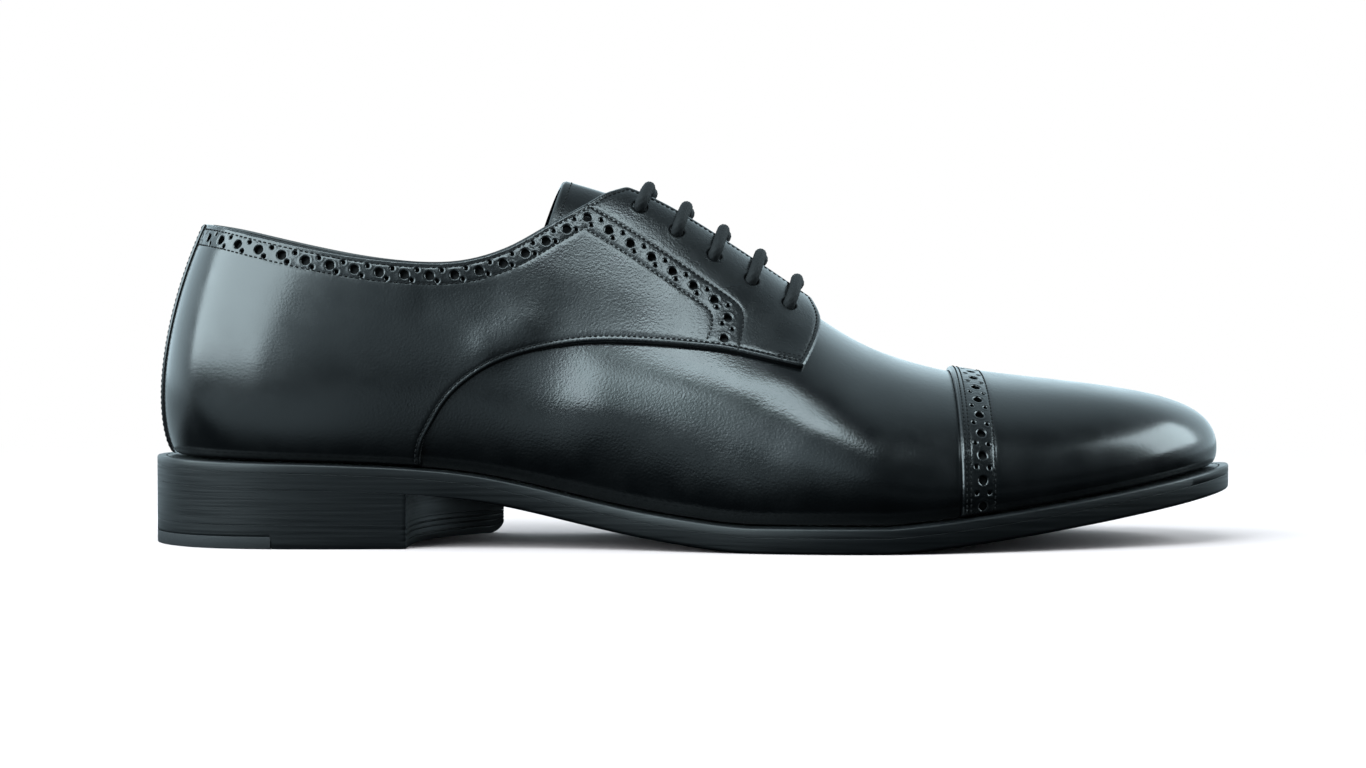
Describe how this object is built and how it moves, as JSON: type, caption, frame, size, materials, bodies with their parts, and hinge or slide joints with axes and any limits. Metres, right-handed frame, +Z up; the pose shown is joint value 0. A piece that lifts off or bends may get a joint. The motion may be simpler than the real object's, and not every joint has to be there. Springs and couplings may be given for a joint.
{
  "type": "cap toe derby dress shoe",
  "caption": "Black calf cap toe derby dress shoe with a welted leather sole, a stacked heel, open laced facings and a hollow upper that a foot goes into.",
  "frame": {"origin": "middle of the shoe's box, on the floor", "axes": "+X from heel to toe, -Y to the outer side of the foot, +Z up"},
  "size_m": [0.306, 0.1033, 0.1024],
  "materials": {
    "black_calf": "polished black calf",
    "edge_leather": "waxed black sole edge",
    "tip_rubber": "matt black rubber",
    "insole_leather": "plain matt leather",
    "waxed_cotton": "round waxed cotton lace"
  },
  "bodies": {
    "root": {"outsole": "edge_leather", "welt": "edge_leather", "heel_stack": "edge_leather", "top_lift": "edge_leather", "heel_tip": "tip_rubber", "insole": "insole_leather", "upper": "black_calf", "quarters": "black_calf", "toe_cap": "black_calf", "back_strip": "black_calf", "tongue": "black_calf", "lace_bar_1": "waxed_cotton", "lace_bar_2": "waxed_cotton", "lace_bar_3": "waxed_cotton", "lace_bar_4": "waxed_cotton", "lace_bar_5": "waxed_cotton"}
  },
  "joints": []
}
